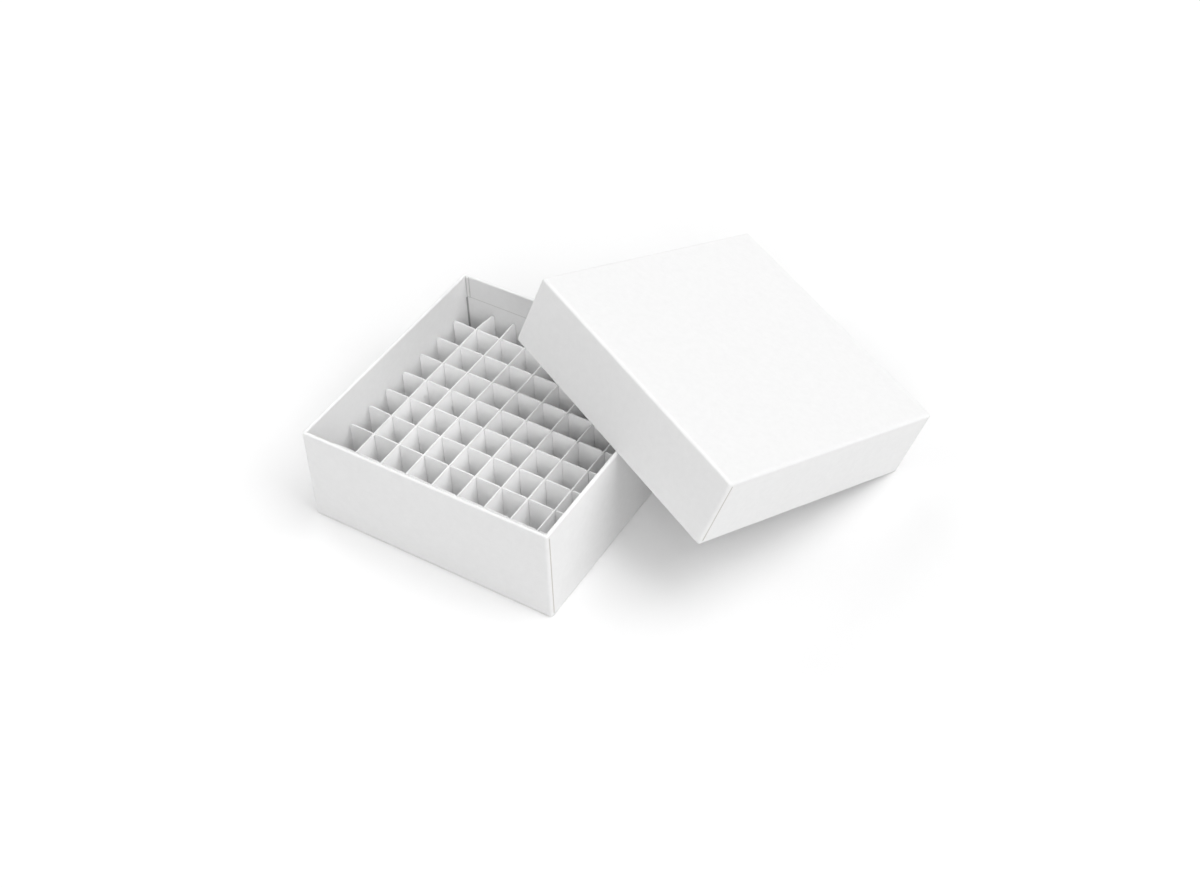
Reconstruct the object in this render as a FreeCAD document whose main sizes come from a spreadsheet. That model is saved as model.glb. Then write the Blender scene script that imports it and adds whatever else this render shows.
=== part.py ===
"""Cardboard freezer box: a paper-covered tray, a slotted card divider of 9 by 9 cells and a lift-off lid.

The frame has its origin at the centre of the tray's underside, +X to the right, +Y away and +Z up.
The tray stands on the floor. The lid is off: it leans on the tray's right and far rims and on one
of its own corners, which stands on the floor. All lengths are in millimetres.
"""
import FreeCAD, Part
import math
import os

import Sketcher

# Driving sizes: each is written once, here, and every piece is built from the sheet that holds them.
SIZES = {
    # tray and lid
    "tray_width": 129.0,        # outside of the square tray
    "tray_height": 51.5,
    "lid_height": 37.0,
    "lid_clearance": 0.3,       # between the tray's outside and the lid's inside, each side
    "board": 1.5,               # thickness of the board
    "paper": 0.2,               # thickness of the cover paper
    "turn_in": 13.2,            # depth of the paper that is turned in over a rim
    "lap": 1.8,                 # width of the paper's lap at the end of a turned-in edge
    "fold_round": 1.5,          # rounding of the covered outer folds
    "inner_round": 0.4,         # rounding of the covered inner corners
    "rim_crest": 0.1,           # flat left on top of a rounded rim
    "corner_slit": 0.4,         # gap between two folded-up board walls
    "seam_width": 0.25,         # gap at the cover paper's vertical seams
    "seam_depth": 0.12,
    "seam_inset": 1.6,          # from the box's corner to the seam
    # divider
    "cell_count": 9,            # cells along each side
    "strip_card": 0.5,          # thickness of the divider's card
    "strip_height": 31.6,
    "strip_clearance": 0.4,     # from a strip's end to the tray's covered wall
    "strip_round": 2.0,         # rounding of a strip's corners
    "slot_play": 0.4,           # how much wider than the card a slot is
    "slot_mouth": 1.2,          # rounding of a slot's mouth
    # lean of the lid, measured from the tray corner that it covers
    "touch_right": 70.0,        # along the right rim to the lid's edge
    "touch_far": 54.4,          # along the far rim to the lid's other edge
    "lid_turn": 32.0,           # degrees between the lid's edge and the line through both touches
    "touch_gap": 0.05,          # air left where the lid leans
}

doc = FreeCAD.newDocument("freezer_box")
sheet = doc.addObject("Spreadsheet::Sheet", "sizes")
for row, (alias, value) in enumerate(SIZES.items(), start=1):
    sheet.set(f"A{row}", alias)
    sheet.set(f"B{row}", str(value))
    sheet.setAlias(f"B{row}", alias)
doc.recompute()

# Sizes that follow from the driving ones, as expressions on the sheet
WALL = "(sizes.board + 2 * sizes.paper)"
FLOOR = "(sizes.board + sizes.paper)"
RIM_ROUND = f"(({WALL} - sizes.rim_crest) / 2)"
BOARD_ROUND = "((sizes.board - sizes.rim_crest) / 2)"
LID_WIDTH = f"(sizes.tray_width + 2 * (sizes.lid_clearance + {WALL}))"
STRIP_LENGTH = f"(sizes.tray_width - 2 * ({WALL} + sizes.strip_clearance))"
CELL_PITCH = f"((sizes.tray_width - 2 * {WALL}) / sizes.cell_count)"
SLOT_WIDTH = "(sizes.strip_card + sizes.slot_play)"
SLOT_DEPTH = "((sizes.strip_height + sizes.slot_play) / 2)"

STRAIGHT = 1e-4                 # how far from straight or level an edge may be when it is picked
ROOM = 1.0                      # how far a cutting tool reaches past what it cuts


def size(name):
    """Value of a driving size."""
    return float(sheet.get(name))


def new_sketch(body, name, plane_role, across="0", up="0", out="0"):
    """Sketch on one of the body's origin planes, moved across, up and out of that plane."""
    sketch = body.newObject("Sketcher::SketchObject", name)
    plane = [feature for feature in body.Origin.OriginFeatures if feature.Role == plane_role][0]
    sketch.AttachmentSupport = [(plane, "")]
    sketch.MapMode = "FlatFace"
    for axis, expression in (("x", across), ("y", up), ("z", out)):
        sketch.setExpression(f"AttachmentOffset.Base.{axis}", expression)
    return sketch


def add_rectangle(sketch, width, height):
    """Rectangle about the sketch's origin, its width and height bound to expressions."""
    half = 5.0
    corners = [(-half, -half), (half, -half), (half, half), (-half, half)]
    points = [FreeCAD.Vector(x, y, 0) for x, y in corners]
    for start in range(4):
        end = (start + 1) % 4
        sketch.addGeometry(Part.LineSegment(points[start], points[end]), False)
    for line in range(4):
        after = (line + 1) % 4
        sketch.addConstraint(Sketcher.Constraint("Coincident", line, 2, after, 1))
        direction = "Horizontal" if line % 2 == 0 else "Vertical"
        sketch.addConstraint(Sketcher.Constraint(direction, line))
    sketch.addConstraint(Sketcher.Constraint("Symmetric", 0, 1, 2, 1, -1, 1))
    wide = sketch.addConstraint(Sketcher.Constraint("DistanceX", 0, 1, 0, 2, 2 * half))
    tall = sketch.addConstraint(Sketcher.Constraint("DistanceY", 1, 1, 1, 2, 2 * half))
    sketch.renameConstraint(wide, "width")
    sketch.renameConstraint(tall, "height")
    sketch.setExpression("Constraints.width", width)
    sketch.setExpression("Constraints.height", height)


def pad(body, name, sketch, length, both_ways=False):
    """Pad of a sketch along its plane's normal, or both ways from the plane."""
    feature = body.newObject("PartDesign::Pad", name)
    feature.Profile = sketch
    if both_ways:
        feature.SideType = "Symmetric"
    feature.setExpression("Length", length)
    doc.recompute()
    return feature


def pocket_upward(body, name, sketch, length):
    """Pocket that removes what stands above a level sketch."""
    before = body.Shape.Volume
    feature = body.newObject("PartDesign::Pocket", name)
    feature.Profile = sketch
    feature.Reversed = True
    feature.setExpression("Length", length)
    doc.recompute()
    if body.Shape.Volume >= before:
        raise RuntimeError(f"{body.Label}: {name} removed nothing")
    return feature


def round_edges(body, name, is_wanted, radius):
    """Fillet on the edges of the body that the test picks."""
    base = body.Tip
    names = [f"Edge{number}" for number, edge in enumerate(base.Shape.Edges, start=1) if is_wanted(edge)]
    if not names:
        raise RuntimeError(f"{body.Label}: {name} found no edge")
    feature = body.newObject("PartDesign::Fillet", name)
    feature.Base = (base, names)
    feature.setExpression("Radius", radius)
    doc.recompute()
    return feature


def is_upright(edge):
    """True for a straight edge along Z."""
    return edge.BoundBox.XLength < STRAIGHT and edge.BoundBox.YLength < STRAIGHT


def is_upright_inside(half_width):
    """Test for straight edges along Z that stand within a square of that half width."""
    def test(edge):
        middle = edge.CenterOfMass
        return is_upright(edge) and max(abs(middle.x), abs(middle.y)) < half_width
    return test


def is_at_height(height):
    """Test for edges that lie level at a height."""
    def test(edge):
        low = edge.BoundBox.ZMin
        high = edge.BoundBox.ZMax
        return abs(low - height) < STRAIGHT and abs(high - height) < STRAIGHT
    return test


def tray_form(name, width, height, thick, round_fold, round_inside, round_rim, raised="0"):
    """Body of an open square tray with rounded folds and a rounded rim, its underside raised."""
    body = doc.addObject("PartDesign::Body", name)
    outline = new_sketch(body, name + "_outline", "XY_Plane", out=raised)
    add_rectangle(outline, width, width)
    block = pad(body, name + "_block", outline, height)
    round_edges(body, name + "_upright_folds", is_upright, round_fold)
    bottom = block.Shape.BoundBox.ZMin
    top = block.Shape.BoundBox.ZMax
    round_edges(body, name + "_bottom_folds", is_at_height(bottom), round_fold)
    mouth = new_sketch(body, name + "_mouth", "XY_Plane", out=FLOOR)
    inside = f"{width} - 2 * {thick}"
    add_rectangle(mouth, inside, inside)
    pocket_upward(body, name + "_hollow", mouth, f"{raised} + {height} - {FLOOR}")
    outer_half = block.Shape.BoundBox.XLength / 2
    inner_limit = outer_half - size("fold_round") / 2
    round_edges(body, name + "_inner_corners", is_upright_inside(inner_limit), round_inside)
    round_edges(body, name + "_rim", is_at_height(top), round_rim)
    return body


def box_tool(name, length, width, height, x, y, z):
    """Plain box for cutting or joining, with bound sizes and place."""
    box = doc.addObject("Part::Box", name)
    for key, expression in (("Length", length), ("Width", width), ("Height", height)):
        box.setExpression(key, expression)
    for axis, expression in (("x", x), ("y", y), ("z", z)):
        box.setExpression(f"Placement.Base.{axis}", expression)
    return box


def joined(name, pieces):
    """One shape from several that may touch or stay apart."""
    fuse = doc.addObject("Part::MultiFuse", name)
    fuse.Shapes = pieces
    return fuse


def cut(name, base, tool):
    """Base less tool."""
    feature = doc.addObject("Part::Cut", name)
    feature.Base = base
    feature.Tool = tool
    return feature


def corner_boxes(name, half, length, width, height, along, inward, z):
    """Four boxes, one by each corner, along the two walls that run in X.

    along is each box's distance from the corner in X and inward its distance from the wall in Y.
    """
    boxes = []
    for side_x in (-1, 1):
        for side_y in (-1, 1):
            x = f"-{half} + {along}" if side_x < 0 else f"{half} - {along} - {length}"
            y = f"-{half} + {inward}" if side_y < 0 else f"{half} - {inward} - {width}"
            label = f"{name}_{len(boxes) + 1}"
            boxes.append(box_tool(label, length, width, height, x, y, z))
    return joined(name, boxes)


def make_board(name, width, height):
    """Board blank folded up into a tray: four walls on one base, slit at the corners."""
    board_width = f"({width} - 2 * sizes.paper)"
    board_height = f"({height} - 2 * sizes.paper)"
    form = tray_form(
        name + "_form", board_width, board_height, "sizes.board",
        "(sizes.fold_round - sizes.paper)", "(sizes.inner_round + sizes.paper)", BOARD_ROUND, "sizes.paper",
    )
    slits = corner_boxes(
        name + "_slits", f"({board_width} / 2)",
        f"(sizes.board + {ROOM})", "sizes.corner_slit", board_height,
        f"-{ROOM}", "sizes.board", FLOOR,
    )
    return form, cut(name, form, slits)


def make_wrap(name, width, height, board_form):
    """Cover paper: under the base, up the walls, over the rim and turned in, with laps and seams."""
    half = f"({width} / 2)"
    form = tray_form(
        name + "_form", width, height, WALL,
        "sizes.fold_round", "sizes.inner_round", RIM_ROUND,
    )
    lining = new_sketch(form, name + "_lining", "XY_Plane", out=FLOOR)
    inside = f"{width} - 2 * {FLOOR}"
    add_rectangle(lining, inside, inside)
    pocket_upward(form, name + "_below_turn_in", lining, f"{height} - sizes.turn_in - {FLOOR}")
    laps = corner_boxes(
        name + "_laps", half,
        "(sizes.lap + sizes.paper)", "(2 * sizes.paper)", f"(sizes.turn_in - {RIM_ROUND})",
        FLOOR, FLOOR, f"({height} - sizes.turn_in)",
    )
    lapped = joined(name + "_lapped", [form, laps])
    folded_sheet = cut(name + "_sheet", lapped, board_form)
    seams = []
    for side_x in (-1, 1):
        for side_y in (-1, 1):
            depth = f"(sizes.seam_depth + {ROOM})"
            x = f"-{half} - {ROOM}" if side_x < 0 else f"{half} - sizes.seam_depth"
            y = f"-{half} + sizes.seam_inset" if side_y < 0 else f"{half} - sizes.seam_inset - sizes.seam_width"
            label = f"{name}_seam_{len(seams) + 1}"
            tall = f"({height} - sizes.fold_round - {RIM_ROUND})"
            seams.append(box_tool(label, depth, "sizes.seam_width", tall, x, y, "sizes.fold_round"))
    return cut(name, folded_sheet, joined(name + "_seams", seams))


def make_strip(name, plane_role, position, slots_up):
    """Divider strip on edge: rounded corners and a row of half-height slots from one long edge."""
    body = doc.addObject("PartDesign::Body", name)
    outline = new_sketch(body, name + "_outline", plane_role, up="sizes.strip_height / 2")
    add_rectangle(outline, STRIP_LENGTH, "sizes.strip_height")
    pad(body, name + "_card", outline, "sizes.strip_card", both_ways=True)
    first = f"-(sizes.cell_count - 2) / 2 * {CELL_PITCH}"
    middle = f"sizes.strip_height - {SLOT_DEPTH} / 2" if slots_up else f"{SLOT_DEPTH} / 2"
    slot = new_sketch(body, name + "_slot_outline", plane_role, across=first, up=middle)
    add_rectangle(slot, SLOT_WIDTH, SLOT_DEPTH)
    opening = body.newObject("PartDesign::Pocket", name + "_slot")
    opening.Profile = slot
    opening.SideType = "Symmetric"
    opening.setExpression("Length", f"sizes.strip_card + 2 * {ROOM}")
    doc.recompute()
    row = body.newObject("PartDesign::LinearPattern", name + "_slots")
    row.Originals = [opening]
    row.Direction = (outline, ["H_Axis"])
    row.setExpression("Length", f"(sizes.cell_count - 2) * {CELL_PITCH}")
    row.setExpression("Occurrences", "sizes.cell_count - 1")
    body.Tip = row
    doc.recompute()

    slot_edge = size("strip_height") if slots_up else 0.0
    half_length = max(body.Shape.BoundBox.XMax, body.Shape.BoundBox.YMax)

    def crosses_card(edge):
        """True for an edge through the card's thickness."""
        return abs(edge.Length - size("strip_card")) < STRAIGHT and edge.BoundBox.ZLength < STRAIGHT

    def is_end(edge):
        """True for a corner at a strip's end."""
        place = edge.CenterOfMass
        at_end = abs(max(abs(place.x), abs(place.y)) - half_length) < STRAIGHT
        return crosses_card(edge) and at_end

    def is_mouth(edge):
        """True for a corner at a slot's mouth."""
        at_edge = abs(edge.CenterOfMass.z - slot_edge) < STRAIGHT
        return crosses_card(edge) and at_edge and not is_end(edge)

    round_edges(body, name + "_ends", is_end, "sizes.strip_round")
    round_edges(body, name + "_mouths", is_mouth, "sizes.slot_mouth")
    shift = f"({position} - sizes.cell_count / 2) * {CELL_PITCH}"
    across = "y" if plane_role == "XZ_Plane" else "x"
    body.setExpression(f"Placement.Base.{across}", shift)
    body.setExpression("Placement.Base.z", FLOOR)
    return body


def lean_placement():
    """Placement of the lid, whose own frame stands on the outside of its closed face, mouth up.

    The lid's plane hangs from two points, one on the right rim and one on the far rim, where two of
    its edges cross them. It is turned about the line through these points until its far corner
    meets the floor. The edges are round, so the height of each crossing follows the edge's slope.
    """
    wall = size("board") + 2 * size("paper")
    half_wall = wall / 2
    rim_radius = (wall - size("rim_crest")) / 2
    tray_half = size("tray_width") / 2
    lid_width = size("tray_width") + 2 * (size("lid_clearance") + wall)
    side = lid_width - wall
    corner_arc = size("fold_round") - rim_radius
    corner_shift = size("fold_round") - half_wall
    rim_axis = size("tray_height") - rim_radius
    spacing = 2 * rim_radius + size("touch_gap")
    turn = math.radians(size("lid_turn"))
    up = FreeCAD.Vector(0, 0, 1)
    rise_right = spacing
    rise_far = spacing
    for _ in range(40):
        on_right = FreeCAD.Vector(tray_half - half_wall, tray_half - size("touch_right"), rim_axis + rise_right)
        on_far = FreeCAD.Vector(tray_half - size("touch_far"), tray_half - half_wall, rim_axis + rise_far)
        line = on_far - on_right
        span = line.Length
        line.normalize()
        run_right = span * math.cos(turn)
        run_far = span * math.sin(turn)
        foot = run_right * math.cos(turn)
        back = run_right * math.sin(turn)
        outward = line.cross(up)
        outward.normalize()
        # the floor corner's arc centre, along the line and away from it within the lid's plane
        reach = side - corner_shift
        along = foot + reach * (-foot / run_right + (span - foot) / run_far)
        away = -back + reach * (back / run_right + back / run_far)
        tilt = 0.0
        for _ in range(40):
            drop = on_right.z + line.z * along - rim_radius - corner_arc * math.sin(tilt)
            tilt = math.asin(drop / away)
        slope = outward * math.cos(tilt) - up * math.sin(tilt)
        raised_corner = on_right + line * foot - slope * back
        edge_right = (on_right - raised_corner) * (1 / run_right)
        edge_far = (on_far - raised_corner) * (1 / run_far)
        rise_right = spacing * math.hypot(edge_right.x, edge_right.z) / abs(edge_right.x)
        rise_far = spacing * math.hypot(edge_far.y, edge_far.z) / abs(edge_far.y)
    normal = edge_right.cross(edge_far)
    mouth_centre = raised_corner + (edge_right + edge_far) * (side / 2) - normal * rim_radius
    closed_centre = mouth_centre + normal * size("lid_height")
    rotation = FreeCAD.Rotation(edge_right, edge_far * -1, normal * -1, "ZXY")
    return FreeCAD.Placement(closed_centre, rotation)


def build():
    """Makes every sub-part and returns them by node name."""
    parts = {}
    tray_form_body, parts["tray_board"] = make_board("tray_board", "sizes.tray_width", "sizes.tray_height")
    parts["tray_wrap"] = make_wrap("tray_wrap", "sizes.tray_width", "sizes.tray_height", tray_form_body)
    lid_form_body, parts["lid_board"] = make_board("lid_board", LID_WIDTH, "sizes.lid_height")
    parts["lid_wrap"] = make_wrap("lid_wrap", LID_WIDTH, "sizes.lid_height", lid_form_body)
    for number in range(1, int(size("cell_count"))):
        along_x = f"divider_x_{number}"
        along_y = f"divider_y_{number}"
        parts[along_x] = make_strip(along_x, "XZ_Plane", number, slots_up=True)
        parts[along_y] = make_strip(along_y, "YZ_Plane", number, slots_up=False)
    doc.recompute()
    leaning = lean_placement()
    parts["lid_board"].Placement = leaning
    parts["lid_wrap"].Placement = leaning
    doc.recompute()
    return parts


def check_and_write(parts):
    """Stops on any failed object or bad shape, then writes one STEP file per sub-part."""
    for item in doc.Objects:
        if "Invalid" in item.State or "Error" in item.State:
            raise RuntimeError(f"{item.Label} failed: {item.State}")
    for name, item in parts.items():
        item.Label = name
        shape = item.Shape
        if shape.isNull() or not shape.isValid() or len(shape.Solids) != 1:
            raise RuntimeError(f"{name} is not one valid solid")
    os.makedirs("parts", exist_ok=True)
    for name, item in parts.items():
        item.Shape.exportStep(f"parts/{name}.step")
        print(f"{name}: {item.Shape.Volume:.1f} mm3")


check_and_write(build())
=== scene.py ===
# %% [markdown]
# # A cardboard freezer box with its lid off
#
# The object is a square white box for small vials: a low tray of paper-covered board, a divider of
# slotted card strips that makes 9 by 9 cells, and a lid that leans on one corner of the tray.
# The measured solids are loaded first and never move. This script dresses them: it sets up the
# camera and the studio, mixes the paper and card finishes, and models the divider strips again with
# the small bows and bent ends that loose card has.

# %% Load the measured solids
import math

import bmesh
import bpy
from mathutils import Matrix, Quaternion, Vector


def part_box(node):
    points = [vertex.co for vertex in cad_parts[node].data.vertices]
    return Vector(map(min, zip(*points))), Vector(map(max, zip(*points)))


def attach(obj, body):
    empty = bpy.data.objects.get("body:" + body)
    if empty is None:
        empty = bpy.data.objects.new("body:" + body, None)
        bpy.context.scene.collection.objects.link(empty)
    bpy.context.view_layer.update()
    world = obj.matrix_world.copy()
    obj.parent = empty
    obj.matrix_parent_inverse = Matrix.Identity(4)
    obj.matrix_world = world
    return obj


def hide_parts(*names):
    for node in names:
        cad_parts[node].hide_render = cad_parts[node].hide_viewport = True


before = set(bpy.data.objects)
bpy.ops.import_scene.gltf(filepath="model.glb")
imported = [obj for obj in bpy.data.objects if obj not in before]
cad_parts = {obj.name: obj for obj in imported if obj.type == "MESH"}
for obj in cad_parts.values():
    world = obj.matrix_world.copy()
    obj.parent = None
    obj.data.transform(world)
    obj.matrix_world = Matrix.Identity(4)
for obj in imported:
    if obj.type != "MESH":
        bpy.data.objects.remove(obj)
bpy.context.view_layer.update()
MM = 0.001

# %% [markdown]
# ## Camera
#
# The photograph is a product shot from the right front, high enough to look into the cells, with a
# longish lens. The picture is a little taller than the real scene, as if it had been stretched, and
# a camera can't copy that. So the place, aim and lens were found together, as those that bring the
# box of real size nearest to the picture all over. The camera has a small roll, as the photograph has.

# %% Camera
CAMERA_PLACE = Vector((362.0, -487.0, 607.1)) * MM
CAMERA_AIM = Vector((39.9, 17.7, 25.0)) * MM
CAMERA_ROLL = math.radians(-2.1)
CAMERA_LENS = 54.7              # millimetres
SENSOR_WIDTH = 36.0             # millimetres

bpy.ops.object.select_all(action="DESELECT")
bpy.ops.object.camera_add(location=CAMERA_PLACE)
camera = bpy.context.object
camera.name = "camera"
camera.data.lens = CAMERA_LENS
camera.data.sensor_width = SENSOR_WIDTH
camera.rotation_mode = "QUATERNION"
looking = (CAMERA_AIM - CAMERA_PLACE).to_track_quat("-Z", "Y")
camera.rotation_quaternion = looking @ Quaternion((0, 0, 1), CAMERA_ROLL)
bpy.context.scene.camera = camera
print("camera is", round((CAMERA_AIM - CAMERA_PLACE).length / MM), "mm from what it looks at")

# %% [markdown]
# ## Two helpers for materials
#
# Colours are written as the hex values that a paint program shows, and a shader wants them linear,
# so one function turns them. A second one adds a node, with its settings and what goes into it.

# %% Colour and node helpers
def linear(hex_colour):
    """The linear red, green, blue and alpha of an sRGB hex colour."""
    values = [int(hex_colour[start:start + 2], 16) / 255 for start in (1, 3, 5)]
    return [v / 12.92 if v <= 0.04045 else ((v + 0.055) / 1.055) ** 2.4 for v in values] + [1.0]


def add_node(tree, kind, settings=None, inputs=None):
    """Adds a node, sets its settings, and links or sets its inputs."""
    node = tree.nodes.new(kind)
    for name, value in (settings or {}).items():
        setattr(node, name, value)
    for name, value in (inputs or {}).items():
        if isinstance(value, bpy.types.NodeSocket):
            tree.links.new(value, node.inputs[name])
        else:
            node.inputs[name].default_value = value
    return node


print("white paper in linear light:", [round(v, 3) for v in linear("#E8E8E8")])

# %% [markdown]
# ## Studio
#
# The box was shot on a white sweep under large soft lamps: the tops are the brightest, the faces
# that look right a little less, and those that look to the front are clearly greyer. Area lamps close
# by would darken the floor towards the corners of the picture, so the lamps here are suns with a wide
# angle, which give the same soft shadows evenly. Light that fills the cells comes off their own white
# walls, so the room itself has no glow. The backdrop is white only to the camera and in reflections,
# and puts no light on the box. The floor is matt white and keeps the box's shadow, and a little white
# that only the camera sees lifts it to the backdrop's, so that no edge shows between the two.

# %% World
world = bpy.data.worlds.new("white_studio")
bpy.context.scene.world = world
world.use_nodes = True
tree = world.node_tree
tree.nodes.clear()
ray = add_node(tree, "ShaderNodeLightPath")
seen = add_node(tree, "ShaderNodeMath", {"operation": "MAXIMUM"},
                {0: ray.outputs["Is Camera Ray"], 1: ray.outputs["Is Glossy Ray"]})
seen_or_through = add_node(tree, "ShaderNodeMath", {"operation": "MAXIMUM"},
                           {0: seen.outputs[0], 1: ray.outputs["Is Transmission Ray"]})
backdrop = add_node(tree, "ShaderNodeBackground", {},
                    {"Color": linear("#FFFFFF"), "Strength": seen_or_through.outputs[0]})
add_node(tree, "ShaderNodeOutputWorld", {}, {"Surface": backdrop.outputs[0]})
bpy.context.scene.view_settings.view_transform = "Standard"
print("nodes of the world:", [node.name for node in tree.nodes])

# %% Soft lamps
# name: (degrees round from the front towards the right, degrees up, width in degrees, strength)
LAMPS = {
    "lamp_above": (0, 89.9, 90, 0.30),
    "lamp_right_above": (120, 62, 50, 1.57),
    "lamp_left_above": (315, 62, 50, 0.27),
    "lamp_front": (30, 32, 44, 1.24),
    "lamp_right": (90, 32, 44, 0.80),
    "lamp_left": (300, 32, 44, 0.61),
    "lamp_left_behind": (240, 32, 44, 0.82),
}

for lamp_name, (around, up, width, strength) in LAMPS.items():
    bpy.ops.object.light_add(type="SUN")
    lamp = bpy.context.object
    lamp.name = lamp_name
    turn = math.radians(around)
    rise = math.radians(up)
    level = math.cos(rise)
    to_lamp = Vector((math.sin(turn) * level, -math.cos(turn) * level, math.sin(rise)))
    lamp.rotation_mode = "QUATERNION"
    lamp.rotation_quaternion = (-to_lamp).to_track_quat("-Z", "Y")
    lamp.data.angle = math.radians(width)
    lamp.data.energy = strength
    print(lamp_name, "strength", strength)

# %% Floor
FLOOR_SIZE = 12.0               # metres
FLOOR_WHITE = "#E8E8E8"
FLOOR_LIFT = 0.075              # strength of the white that only the camera sees

bpy.ops.object.select_all(action="DESELECT")
bpy.ops.mesh.primitive_plane_add(size=FLOOR_SIZE)
floor = bpy.context.object
floor.name = "floor"
floor_white = bpy.data.materials.new("matt_white_sweep")
floor_white.use_nodes = True
tree = floor_white.node_tree
tree.nodes.clear()
ray = add_node(tree, "ShaderNodeLightPath")
lift = add_node(tree, "ShaderNodeMath", {"operation": "MULTIPLY"},
                {0: ray.outputs["Is Camera Ray"], 1: FLOOR_LIFT})
sheen = add_node(tree, "ShaderNodeEmission", {},
                 {"Color": linear("#FFFFFF"), "Strength": lift.outputs[0]})
matt = add_node(tree, "ShaderNodeBsdfDiffuse", {}, {"Color": linear(FLOOR_WHITE)})
both = add_node(tree, "ShaderNodeAddShader", {}, {0: matt.outputs[0], 1: sheen.outputs[0]})
add_node(tree, "ShaderNodeOutputMaterial", {}, {"Surface": both.outputs[0]})
floor.data.materials.append(floor_white)
print("floor of", round(floor.dimensions.x), "m")

# %% [markdown]
# ## Cover paper
#
# The board is covered with a white wood-free paper with a thin smooth coating, glued on wet and drawn
# round the folds. It could be one flat white, but real paper is never quite even: its fibres clump
# into faint clouds a few millimetres wide, the surface has a fine tooth, and the glue and board below
# leave long low ripples that show as soft changes of shade on the big faces. Three noises at these
# sizes do it: one for colour and gloss, and two for height.

# %% The recipe for paper and card
PAPER_IOR = 1.5
GLOSS_SPREAD = 0.04             # the clouds' light places are smoother by this, the dark ones rougher
CLOUD_RANGE = {"From Min": 0.3, "From Max": 0.7}    # the noise's values from dark to light


def paper_like(name, light, dark, roughness, cloud, tooth, tooth_depth, ripple, ripple_depth):
    """Paper or card: clouds in the colour, tooth and ripples in the surface, with their sizes in mm."""
    material = bpy.data.materials.new(name)
    material.use_nodes = True
    tree = material.node_tree
    tree.nodes.clear()
    place = add_node(tree, "ShaderNodeTexCoord").outputs["Object"]
    clouds = add_node(tree, "ShaderNodeTexNoise", {},
                      {"Vector": place, "Scale": 1 / (cloud * MM), "Detail": 4.0, "Roughness": 0.6})
    spread = add_node(tree, "ShaderNodeMapRange", {}, {"Value": clouds.outputs["Fac"], **CLOUD_RANGE})
    colour = add_node(tree, "ShaderNodeMix", {"data_type": "RGBA"},
                      {0: spread.outputs["Result"], 6: linear(dark), 7: linear(light)})
    gloss = add_node(tree, "ShaderNodeMapRange", {},
                     {"Value": clouds.outputs["Fac"], **CLOUD_RANGE,
                      "To Min": roughness + GLOSS_SPREAD, "To Max": roughness - GLOSS_SPREAD})
    ripples = add_node(tree, "ShaderNodeTexNoise", {},
                       {"Vector": place, "Scale": 1 / (ripple * MM), "Detail": 1.0, "Roughness": 0.4})
    teeth = add_node(tree, "ShaderNodeTexNoise", {},
                     {"Vector": place, "Scale": 1 / (tooth * MM), "Detail": 3.0, "Roughness": 0.7})
    low = add_node(tree, "ShaderNodeBump", {},
                   {"Height": ripples.outputs["Fac"], "Distance": ripple_depth * MM})
    fine = add_node(tree, "ShaderNodeBump", {},
                    {"Height": teeth.outputs["Fac"], "Distance": tooth_depth * MM,
                     "Normal": low.outputs["Normal"]})
    surface = add_node(tree, "ShaderNodeBsdfPrincipled", {},
                       {"Base Color": colour.outputs[2], "Roughness": gloss.outputs["Result"],
                        "Normal": fine.outputs["Normal"], "IOR": PAPER_IOR, "Metallic": 0.0})
    add_node(tree, "ShaderNodeOutputMaterial", {}, {"Surface": surface.outputs[0]})
    return material


print("one recipe for paper and card, with clouds, tooth and ripples")

# %% Cover paper material
# Coated paper is satin. Its tooth is about 0.2 mm, and is drawn at 0.7 mm so that it shows at all.
PAPER_FINISH = {
    "light": "#E8E8E8", "dark": "#E5E5E5", "roughness": 0.5,
    "cloud": 3.0, "tooth": 0.7, "tooth_depth": 0.010, "ripple": 18.0, "ripple_depth": 0.06,
}
tray_paper = paper_like("coated_cover_paper_of_tray", **PAPER_FINISH)
lid_paper = paper_like("coated_cover_paper_of_lid", **PAPER_FINISH)
print("made", tray_paper.name, "and", lid_paper.name)

# %% [markdown]
# ## Box board and divider card
#
# Below the turned-in paper the tray shows its own board: a white-lined pulp board, as white as the
# paper but duller. The divider strips are a thinner and whiter card, die-cut, so that the fibres of
# their cut edges stand open and look rough. All are made by the same recipe, with their own sizes.

# %% Board and card materials
# Lined board has no coating, so it is dull. Its tooth and that of the card are drawn coarser too.
BOARD_FINISH = {
    "light": "#E9E9E9", "dark": "#E6E6E6", "roughness": 0.75,
    "cloud": 2.5, "tooth": 0.8, "tooth_depth": 0.015, "ripple": 20.0, "ripple_depth": 0.06,
}
# Divider card is bleached all through, so it is the whitest, and its face is smooth but not shiny.
CARD_FINISH = {
    "light": "#FCFCFC", "dark": "#FAFAFA", "roughness": 0.7,
    "cloud": 2.0, "tooth": 0.6, "tooth_depth": 0.010, "ripple": 12.0, "ripple_depth": 0.04,
}
# A die-cut edge shows the ends of the fibres: greyer, more uneven and the dullest of all.
CUT_FINISH = {
    "light": "#F1F1F1", "dark": "#E9E9E9", "roughness": 0.85,
    "cloud": 0.8, "tooth": 0.5, "tooth_depth": 0.008, "ripple": 6.0, "ripple_depth": 0.02,
}
tray_board = paper_like("white_lined_board_of_tray", **BOARD_FINISH)
lid_board = paper_like("white_lined_board_of_lid", **BOARD_FINISH)
divider_card = paper_like("white_divider_card", **CARD_FINISH)
cut_card = paper_like("die_cut_card_edge", **CUT_FINISH)
print("made", [material.name for material in (tray_board, lid_board, divider_card, cut_card)])

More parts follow.
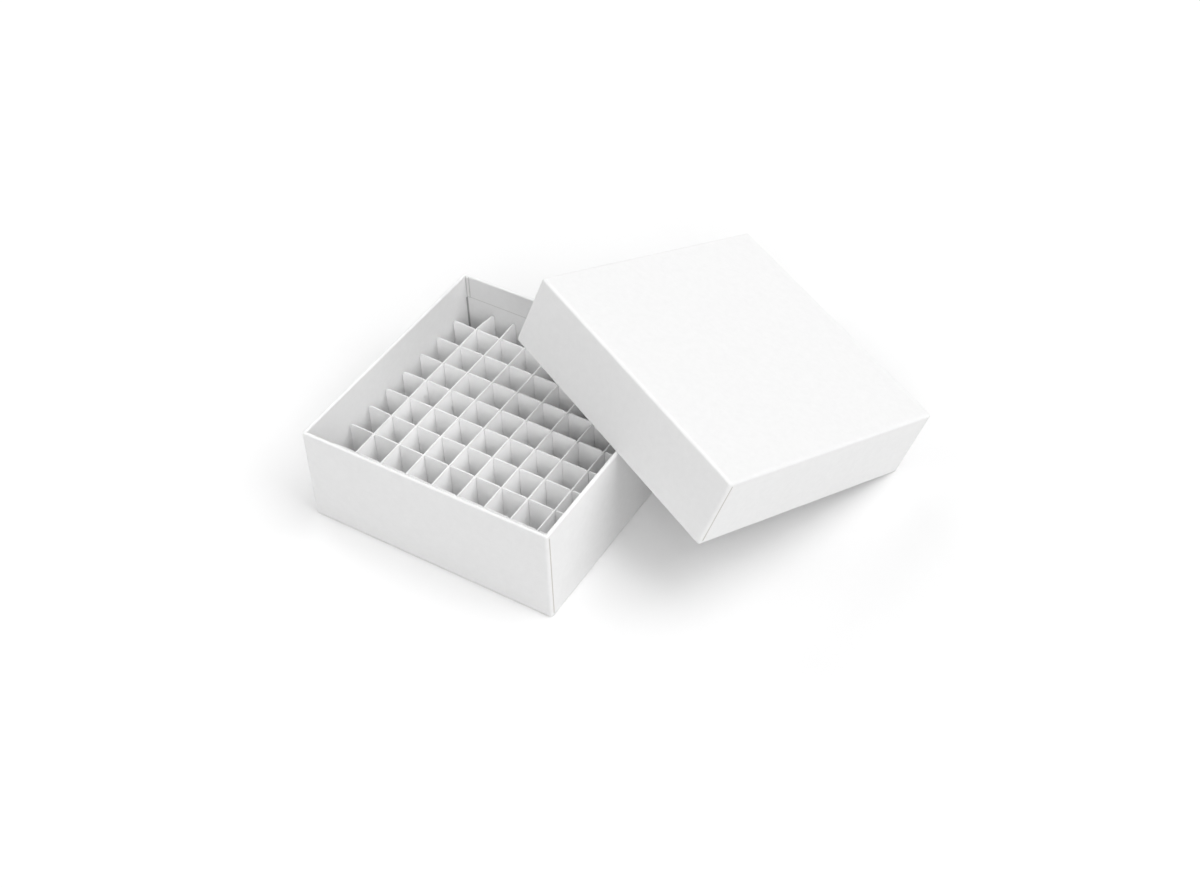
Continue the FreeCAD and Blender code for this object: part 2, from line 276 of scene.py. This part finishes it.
# %% [markdown]
# ## Seams, laps and slits
#
# Where the cover paper ends, its edge leaves a small gap or step, and this casts a thin line of shade:
# upright near the ends of the side walls, along the lower edge of the turned-in paper, and beside the
# laps in the inner corners. In the board below, a slit is open between the folded walls, and is dark
# inside. The solids have these gaps and edges, but they are 0.2 to 0.4 mm wide and vanish in a picture.
# So the materials also paint that shade over each as a grey band, a few times as wide as the real one.
# The bands are painted shade, not a colour of the paper. The bands are found by their distance from the
# middle of the box, along its own walls. The lid leans, so a Mapping node first turns its places
# upright, by the lid's own axes.

# %% Axes of a leaning box
UPRIGHT = 0.1                   # a wall's direction rises less than this along the box's own up


def own_axes(node_name):
    """Middle, half sizes and axes (side, far, up) of a box, from the directions of its six big faces."""
    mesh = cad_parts[node_name].data
    totals = {}
    for face in mesh.polygons:
        direction = tuple(round(v, 2) for v in face.normal)
        totals.setdefault(direction, [0.0, Vector()])
        totals[direction][0] += face.area
        totals[direction][1] += face.normal * face.area
    biggest = sorted(totals.values(), key=lambda total: -total[0])[:6]
    six = [weighted.normalized() for area, weighted in biggest]
    up = max(six, key=lambda axis: axis.z)
    walls = [axis for axis in six if abs(axis.dot(up)) < UPRIGHT]
    side = max(walls, key=lambda axis: axis.x)
    axes = [side, up.cross(side), up]
    spans = [[vertex.co.dot(axis) for vertex in mesh.vertices] for axis in axes]
    half = [(max(span) - min(span)) / 2 for span in spans]
    middle = sum((axis * (max(span) + min(span)) / 2 for axis, span in zip(axes, spans)), Vector())
    return middle, half, axes


for wrap in ("tray_wrap", "lid_wrap"):
    middle, half, axes = own_axes(wrap)
    print(wrap, "middle", [round(v / MM, 1) for v in middle], "up", [round(v, 3) for v in axes[2]])
    print("its half sizes", [round(v / MM, 2) for v in half])


# %% Places measured along a box's own walls
def own_place(material, node_name):
    """Distances from a box's middle: to either side, towards its far end, to either end, and up."""
    tree = material.node_tree
    middle, _, axes = own_axes(node_name)
    turn = Matrix(axes).transposed().to_euler()
    place = add_node(tree, "ShaderNodeTexCoord").outputs["Object"]
    own = add_node(tree, "ShaderNodeMapping", {"vector_type": "TEXTURE"},
                   {"Vector": place, "Location": middle, "Rotation": turn})
    split = add_node(tree, "ShaderNodeSeparateXYZ", {}, {"Vector": own.outputs[0]})
    across = add_node(tree, "ShaderNodeMath", {"operation": "ABSOLUTE"}, {0: split.outputs["X"]})
    along = add_node(tree, "ShaderNodeMath", {"operation": "ABSOLUTE"}, {0: split.outputs["Y"]})
    return {"side": across.outputs[0], "far": split.outputs["Y"],
            "end": along.outputs[0], "up": split.outputs["Z"]}


tray_paper_place = own_place(tray_paper, "tray_wrap")
lid_paper_place = own_place(lid_paper, "lid_wrap")
tray_board_place = own_place(tray_board, "tray_wrap")
print("places are measured by", list(tray_paper_place))


# %% Bands of colour
def colour_band(material, place, hex_colour, limits):
    """Colours the part of a surface whose distances lie within the limits, low and high in mm."""
    tree = material.node_tree
    inside = None
    for distance, (low, high) in limits.items():
        near = add_node(tree, "ShaderNodeMath", {"operation": "COMPARE"},
                        {0: place[distance], 1: (low + high) / 2 * MM, 2: (high - low) / 2 * MM})
        if inside is None:
            inside = near.outputs[0]
        else:
            inside = add_node(tree, "ShaderNodeMath", {"operation": "MULTIPLY"},
                              {0: inside, 1: near.outputs[0]}).outputs[0]
    base = tree.nodes["Principled BSDF"].inputs["Base Color"]
    before = base.links[0].from_socket
    mixed = add_node(tree, "ShaderNodeMix", {"data_type": "RGBA"},
                     {0: inside, 6: before, 7: linear(hex_colour)})
    tree.links.new(mixed.outputs[2], base)


print("a band lies where all of its distances are within their limits")

# %% Colour the seams
WALL = 1.9                      # board with paper on both sides, in mm as all sizes of the bands are
PAPER = 0.2                     # thickness of the cover paper
# painted shade of the seams' narrow gaps, greyer than the paper
SEAM_SHADE = "#C8C4C0"
SEAM_INSET = 1.7                # from the box's corner to the middle of the seam
SEAM_BAND = 0.8                 # the seam's gap is 0.25 mm, and is drawn wider so that it shows
SEAM_ENDS = 2.0                 # the band stops this far short of the rim and of the lower fold


def seam_limits(half_width, half_height, distance, direction):
    """Where the seams on a box's side walls lie: at both ends, or at the near end alone."""
    seam = direction * (half_width - SEAM_INSET)
    reach = half_height - SEAM_ENDS
    return {"side": (half_width - PAPER, half_width + PAPER), "up": (-reach, reach),
            distance: (seam - SEAM_BAND / 2, seam + SEAM_BAND / 2)}


tray_half = -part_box("tray_wrap")[0].x / MM
tray_middle_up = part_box("tray_wrap")[1].z / MM / 2
lid_half, _, lid_middle_up = [v / MM for v in own_axes("lid_wrap")[1]]
colour_band(tray_paper, tray_paper_place, SEAM_SHADE, seam_limits(tray_half, tray_middle_up, "end", 1))
# On the lid, only the seams at the near ends of the side walls are open enough to show.
colour_band(lid_paper, lid_paper_place, SEAM_SHADE, seam_limits(lid_half, lid_middle_up, "far", -1))
print("seams", [round(half - SEAM_INSET, 2) for half in (tray_half, lid_half)], "mm from the middles")

# %% Colour the turned-in edge, its laps and the slits
TURN_IN = 13.2                  # depth of the paper that is turned in over the rim
# painted shade along the step where the turned-in paper ends
TURNED_EDGE_SHADE = "#D2D2D1"
EDGE_RISE = 0.5                 # the band goes this far up from the edge, and a paper's thickness down
LAP = 1.8                       # from the inner corner to the lap's edge
# painted shade along the steps at the laps' edges in the inner corners
LAP_STEP_SHADE = "#CACAC9"
LAP_BAND = 0.5
SLIT_SHADE = "#A2A2A2"
SLIT_BAND = 0.8                 # how far the slit's shade comes out of the corner

inner = tray_half - WALL
turned_edge = tray_middle_up - TURN_IN
# The laps stand one paper's thickness further in than the turned-in paper, so the band takes in both.
turned_face = (inner - 2 * PAPER, inner + PAPER / 2)
colour_band(tray_paper, tray_paper_place, TURNED_EDGE_SHADE,
            {"end": turned_face, "up": (turned_edge - PAPER, turned_edge + EDGE_RISE)})
for lap_line in (inner - LAP, inner - PAPER):
    colour_band(tray_paper, tray_paper_place, LAP_STEP_SHADE,
                {"end": turned_face, "side": (lap_line - LAP_BAND / 2, lap_line + LAP_BAND / 2)})
colour_band(tray_board, tray_board_place, SLIT_SHADE,
            {"side": (inner - PAPER, inner + 2 * PAPER), "end": (inner - SLIT_BAND, inner + 2 * PAPER)})
print("turned-in edge", round(turned_edge, 2), "mm above the tray's middle")
print("slits", round(inner, 2), "mm from it")

# %% Dress the tray and the lid
FINISH = {
    "tray_wrap": tray_paper, "lid_wrap": lid_paper,
    "tray_board": tray_board, "lid_board": lid_board,
}
for node_name, material in FINISH.items():
    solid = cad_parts[node_name]
    solid.data.materials.clear()
    solid.data.materials.append(material)
    print(node_name, "has", material.name)

# %% [markdown]
# ## Divider strips
#
# Eight strips run left to right with slots open at the top, and eight run front to back with slots
# open at the bottom, so that each drops over the others. A slot could be cut with a boolean, but that
# leaves long thin faces that don't bend well. Here a strip starts as an upright sheet, which is cut
# across at the slots' sides and at half height. The faces in the slots are deleted, the corners are
# rounded, and a few more cuts let the sheet bow. Its thickness comes last.

# %% Sizes of a strip, read from the solids
low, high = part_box("divider_x_1")
LENGTH, CARD, HEIGHT = high - low
UNDER = low.z                   # height of a strip's lower edge
MIDDLE = UNDER + HEIGHT / 2
NUMBERS = range(1, 9)           # eight strips each way
GRID = []                       # where they stand, and where the slots are in the others
for number in NUMBERS:
    low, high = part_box(f"divider_y_{number}")
    GRID.append((low.x + high.x) / 2)
PITCH = GRID[1] - GRID[0]
SLOT = 0.9 * MM                 # width of a slot
MOUTH_ROUND = 1.2 * MM          # rounding of a slot's mouth
END_ROUND = 2.0 * MM            # rounding of a strip's corners
NEAR = 0.01 * MM                # places closer than this count as the same
print("strips", [round(v / MM, 2) for v in (LENGTH, HEIGHT, CARD)], "mm")
print("cells", round(PITCH / MM, 2), "mm apart")


# %% Helpers for edit mode
def pick(piece, kind, is_wanted):
    """Selects the vertices or faces whose place passes the test, and returns how many."""
    bpy.ops.mesh.select_mode(type=kind)
    bpy.ops.mesh.select_all(action="DESELECT")
    mesh = bmesh.from_edit_mesh(piece.data)
    count = 0
    for element in (mesh.verts if kind == "VERT" else mesh.faces):
        place = element.co if kind == "VERT" else element.calc_center_median()
        if is_wanted(place):
            element.select_set(True)
            count += 1
    mesh.select_flush_mode()
    bmesh.update_edit_mesh(piece.data)
    return count


def slice_at(place, direction):
    """Cuts the whole mesh along a plane, and keeps both halves."""
    bpy.ops.mesh.select_all(action="SELECT")
    bpy.ops.mesh.bisect(plane_co=place, plane_no=direction)


print("two helpers: pick and slice_at")


# %% An upright sheet, cut across at its slots
def add_sheet(name):
    """A sheet along X, as long and tall as a strip, cut at the slots' sides and at half height."""
    bpy.ops.object.select_all(action="DESELECT")
    bpy.ops.mesh.primitive_plane_add(size=1.0, location=(0, 0, MIDDLE), rotation=(math.pi / 2, 0, 0))
    sheet = bpy.context.object
    sheet.name = name
    bpy.ops.object.transform_apply(location=True, rotation=True, scale=True)
    bpy.ops.object.mode_set(mode="EDIT")
    bpy.ops.mesh.select_all(action="SELECT")
    bpy.ops.transform.resize(value=(LENGTH, 1, HEIGHT), center_override=(0, 0, MIDDLE))
    for x in GRID:
        slice_at((x - SLOT / 2, 0, 0), (1, 0, 0))
        slice_at((x + SLOT / 2, 0, 0), (1, 0, 0))
    slice_at((0, 0, MIDDLE), (0, 0, 1))
    print(name, "has", 2 * len(GRID), "cuts across")
    return sheet


# %% Slots and rounded corners
def from_slot(place):
    """Distance along the strip to the middle of the nearest slot."""
    return min(abs(place.x - x) for x in GRID)


def open_slots(sheet, slots_up):
    """Deletes the faces in the slots, and returns how many there were."""
    def in_slot(place):
        """True within a slot's width, on the side of the strip that its slots open to."""
        return from_slot(place) < SLOT / 2 and (place.z > MIDDLE) == slots_up

    slots = pick(sheet, "FACE", in_slot)
    bpy.ops.mesh.delete(type="FACE")
    return slots


def round_corners(sheet, slots_up):
    """Rounds the strip's corners and the mouths of its slots, and returns how many of each."""
    open_edge = UNDER + HEIGHT if slots_up else UNDER

    def at_end(place):
        """True for the four corners of the strip."""
        return abs(abs(place.x) - LENGTH / 2) < NEAR and abs(place.z - MIDDLE) > HEIGHT / 2 - NEAR

    def at_mouth(place):
        """True for the two corners of each slot's mouth."""
        return abs(from_slot(place) - SLOT / 2) < NEAR and abs(place.z - open_edge) < NEAR

    ends = pick(sheet, "VERT", at_end)
    bpy.ops.mesh.bevel(offset_type="OFFSET", offset=END_ROUND, segments=4, affect="VERTICES")
    mouths = pick(sheet, "VERT", at_mouth)
    bpy.ops.mesh.bevel(offset_type="OFFSET", offset=MOUTH_ROUND, segments=3, affect="VERTICES")
    return ends, mouths


print("slots", round(SLOT / MM, 2), "mm wide")

# %% Both kinds of sheet
BOW_CUTS = range(-17, 18)       # cuts across the sheet that let it bow, in quarters of a cell
LONG_CUTS = (1, 3)              # cuts along it, in quarters of its height


def model_sheet(name, slots_up):
    """A strip along X with its slots and rounded corners, still without thickness."""
    sheet = add_sheet(name)
    slots = open_slots(sheet, slots_up)
    ends, mouths = round_corners(sheet, slots_up)
    for step in BOW_CUTS:
        slice_at(((step + 0.5) * PITCH / 4, 0, 0), (1, 0, 0))
    for step in LONG_CUTS:
        slice_at((0, 0, UNDER + HEIGHT * step / 4), (0, 0, 1))
    bpy.ops.object.mode_set(mode="OBJECT")
    print(name, "slots", slots, "ends", ends, "mouths", mouths, "faces", len(sheet.data.polygons))
    return sheet


sheet_slots_up = model_sheet("sheet_slots_up", True)
sheet_slots_down = model_sheet("sheet_slots_down", False)

# %% [markdown]
# ## Bows, bent ends and thickness
#
# Card never stands quite straight. At each crossing the slots hold it within a few tenths of a
# millimetre, between them it bows a little, and past the last crossing its end is free and bends more.
# A very weak displacement by a soft noise gives the bow, and because every strip stands at another
# place in the noise, no two are alike. The ends that the photograph shows bent are pulled over with
# proportional editing. Only then does the sheet get its thickness, so that the card stays even.

# %% How the strips bow and lean
BOW = 0.45 * MM                 # between the furthest bows to one side and to the other
BOW_LENGTH = 45 * MM            # size of the noise's swells
LEAN_REACH = 0.9 * PITCH        # how far from its edge a leaning end bends
# strip: (its end, how far that end leans sideways in mm), as the photograph shows them
LEANING_ENDS = {
    "divider_y_1": (1, 1.3),
    "divider_y_2": (1, -0.5),
    "divider_y_3": (1, 0.7),
    "divider_x_1": (-1, -0.5),
    "divider_x_3": (-1, 0.4),
    "divider_x_5": (-1, -0.4),
    "divider_x_8": (-1, 0.5),
}
bow_noise = bpy.data.textures.new("card_bow", "CLOUDS")
bow_noise.noise_scale = BOW_LENGTH
bow_noise.noise_depth = 1
print("leaning ends:", len(LEANING_ENDS))


# %% Helpers for one strip
def select_alone(piece):
    """Makes one piece the only one selected, and active."""
    bpy.ops.object.select_all(action="DESELECT")
    piece.select_set(True)
    bpy.context.view_layer.objects.active = piece


def apply_modifier(piece, kind, settings):
    """Adds a modifier with its settings and applies it."""
    modifier = piece.modifiers.new(kind.lower(), kind)
    for name, value in settings.items():
        setattr(modifier, name, value)
    bpy.ops.object.modifier_apply(modifier=modifier.name)


def lean_end(strip, along_x, end, lean):
    """Pulls one end of a strip over sideways, and the card near it along."""
    def at_this_end(place):
        """True for the end's edge."""
        return end * (place.x if along_x else place.y) > LENGTH / 2 - 10 * NEAR

    bpy.ops.object.mode_set(mode="EDIT")
    pick(strip, "VERT", at_this_end)
    move = (0, lean * MM, 0) if along_x else (lean * MM, 0, 0)
    bpy.ops.transform.translate(value=move, use_proportional_edit=True,
                                proportional_edit_falloff="SMOOTH", proportional_size=LEAN_REACH)
    bpy.ops.object.mode_set(mode="OBJECT")


print("a leaning end bends over", round(LEAN_REACH / MM, 1), "mm")


# %% One strip in its place
def place_strip(node_name, sheet, along_x, shift):
    """One strip in its place in the tray, bowed, with thickness and materials."""
    strip = sheet.copy()
    strip.data = sheet.data.copy()
    strip.name = node_name + "_card"
    bpy.context.scene.collection.objects.link(strip)
    select_alone(strip)
    if not along_x:
        bpy.ops.transform.rotate(value=math.pi / 2, orient_axis="Z", center_override=(0, 0, 0))
    strip.location += Vector((0, shift, 0)) if along_x else Vector((shift, 0, 0))
    bpy.ops.object.transform_apply(location=True, rotation=True, scale=True)
    apply_modifier(strip, "DISPLACE", {"texture": bow_noise, "direction": "Y" if along_x else "X",
                                       "strength": BOW, "mid_level": 0.5, "texture_coords": "LOCAL"})
    if node_name in LEANING_ENDS:
        lean_end(strip, along_x, *LEANING_ENDS[node_name])
    apply_modifier(strip, "SOLIDIFY", {"thickness": CARD, "offset": 0.0})
    strip.data.materials.clear()
    strip.data.materials.append(divider_card)
    strip.data.materials.append(cut_card)
    # A face that doesn't look across the card is a cut edge.
    for face in strip.data.polygons:
        across_card = abs(face.normal.y if along_x else face.normal.x)
        face.material_index = 1 if across_card < 0.5 else 0
    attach(strip, "root")
    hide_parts(node_name)
    return strip


# %% All sixteen strips
for number in NUMBERS:
    for along_x, sheet in ((True, sheet_slots_up), (False, sheet_slots_down)):
        node_name = f"divider_{'x' if along_x else 'y'}_{number}"
        strip = place_strip(node_name, sheet, along_x, GRID[number - 1])
        print(strip.name, "faces", len(strip.data.polygons))
for sheet in (sheet_slots_up, sheet_slots_down):
    bpy.data.objects.remove(sheet)
